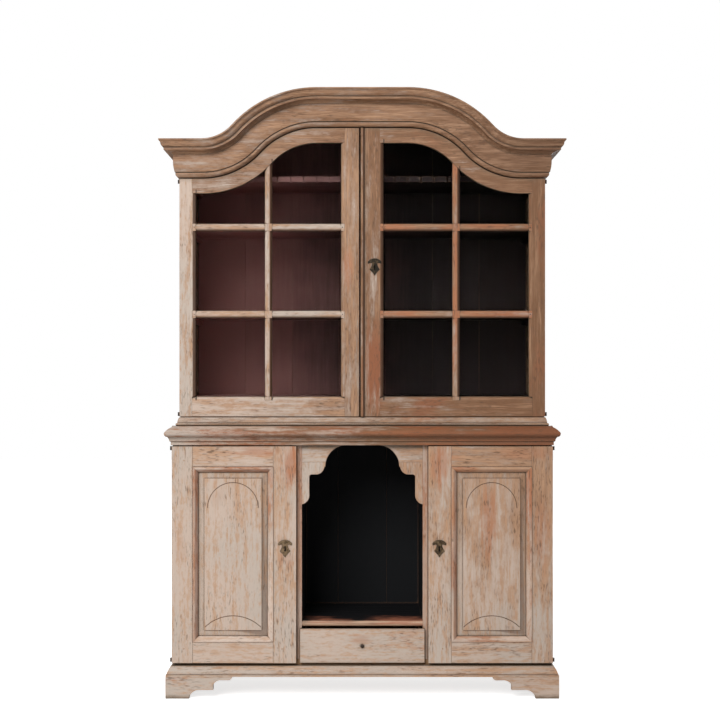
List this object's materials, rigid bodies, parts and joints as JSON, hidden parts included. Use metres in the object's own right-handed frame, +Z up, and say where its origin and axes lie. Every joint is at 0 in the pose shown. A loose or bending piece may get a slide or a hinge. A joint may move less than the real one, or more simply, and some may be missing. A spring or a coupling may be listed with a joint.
{
  "type": "vitrine cabinet",
  "caption": "Painted pine display cabinet: arched glazed doors under a serpentine cornice, with panelled cupboards, an open arched niche and a drawer below.",
  "frame": {"origin": "on the floor, under the middle of the whole cabinet's box", "axes": "+Z up, the front faces -Y, +X is to the viewer's right"},
  "size_m": [1.467, 0.48, 2.2025],
  "materials": {
    "painted_pine": "dry scraped paint over pine, worn to the wood on the edges",
    "inner_paint": "old red-brown paint",
    "raw_pine": "bare aged pine",
    "glass": "old clear sheet",
    "iron": "dark forged iron",
    "brass": "tarnished brass sheet"
  },
  "bodies": {
    "case": {"plinth": "painted_pine", "bracket_feet": "painted_pine", "foot_blocks": "raw_pine", "lower_bottom_board": "raw_pine", "lower_sides": "painted_pine", "lower_top_board": "raw_pine", "lower_back_boards": "raw_pine", "niche_partitions": "inner_paint", "waist_moulding": "painted_pine", "niche_stiles": "painted_pine", "niche_apron": "painted_pine", "niche_floor": "inner_paint", "upper_sides": "painted_pine", "upper_base_rail": "raw_pine", "upper_bottom_board": "inner_paint", "base_moulding": "painted_pine", "head_board": "inner_paint", "roof_boards": "raw_pine", "upper_back_boards": "inner_paint", "cornice_front": "painted_pine", "cornice_returns": "painted_pine", "plate_shelves": "inner_paint", "spoon_shelf": "inner_paint", "cupboard_shelves": "raw_pine", "shelf_battens": "inner_paint", "hinge_pintles": "iron"},
    "drawer": {"drawer_front": "painted_pine", "drawer_bottom": "raw_pine", "drawer_box": "raw_pine", "drawer_pull": "iron"},
    "lower_left_door": {"lower_left_door_frame": "painted_pine", "lower_left_door_panel": "painted_pine", "lower_left_door_mouldings": "painted_pine", "lower_left_door_escutcheon": "brass", "lower_left_door_lock_case": "iron", "lower_left_door_hinge_eyes": "iron"},
    "lower_right_door": {"lower_right_door_frame": "painted_pine", "lower_right_door_panel": "painted_pine", "lower_right_door_mouldings": "painted_pine", "lower_right_door_escutcheon": "brass", "lower_right_door_lock_case": "iron", "lower_right_door_hinge_eyes": "iron"},
    "upper_left_door": {"upper_left_door_frame": "painted_pine", "upper_left_door_arch_rail": "painted_pine", "upper_left_door_bars": "painted_pine", "upper_left_door_panes": "glass", "upper_left_door_hinge_eyes": "iron", "upper_left_door_bolt_guide": "iron"},
    "upper_right_door": {"upper_right_door_frame": "painted_pine", "upper_right_door_arch_rail": "painted_pine", "upper_right_door_bars": "painted_pine", "upper_right_door_panes": "glass", "upper_right_door_hinge_eyes": "iron", "upper_right_door_escutcheon": "brass", "upper_right_door_lock_case": "iron"},
    "lower_left_bolt": {"lower_left_door_lock_bolt": "iron"},
    "lower_right_bolt": {"lower_right_door_lock_bolt": "iron"},
    "upper_right_bolt": {"upper_right_door_lock_bolt": "iron"},
    "upper_slide_bolt": {"upper_left_door_slide_bolt": "iron"}
  },
  "joints": [
    {"name": "lower_left_door_hinge", "type": "hinge", "parent": "case", "child": "lower_left_door", "pos_m": [-0.6955, -0.17275, 0], "axis": [0, 0, -1], "range_deg": [0, 170]},
    {"name": "lower_right_door_hinge", "type": "hinge", "parent": "case", "child": "lower_right_door", "pos_m": [0.6955, -0.17275, 0], "axis": [0, 0, 1], "range_deg": [0, 170]},
    {"name": "upper_left_door_hinge", "type": "hinge", "parent": "case", "child": "upper_left_door", "pos_m": [-0.6705, -0.14775, 0], "axis": [0, 0, -1], "range_deg": [0, 170]},
    {"name": "upper_right_door_hinge", "type": "hinge", "parent": "case", "child": "upper_right_door", "pos_m": [0.6705, -0.14775, 0], "axis": [0, 0, 1], "range_deg": [0, 170]},
    {"name": "drawer_slide", "type": "slide", "parent": "case", "child": "drawer", "axis": [0, -1, 0], "range_m": [0, 0.3]},
    {"name": "lower_left_bolt_slide", "type": "slide", "parent": "lower_left_door", "child": "lower_left_bolt", "axis": [1, 0, 0], "range_m": [0, 0.012]},
    {"name": "lower_right_bolt_slide", "type": "slide", "parent": "lower_right_door", "child": "lower_right_bolt", "axis": [-1, 0, 0], "range_m": [0, 0.012]},
    {"name": "upper_right_bolt_slide", "type": "slide", "parent": "upper_right_door", "child": "upper_right_bolt", "axis": [-1, 0, 0], "range_m": [0, 0.012]},
    {"name": "upper_slide_bolt_slide", "type": "slide", "parent": "upper_left_door", "child": "upper_slide_bolt", "axis": [0, 0, -1], "range_m": [0, 0.012]}
  ]
}
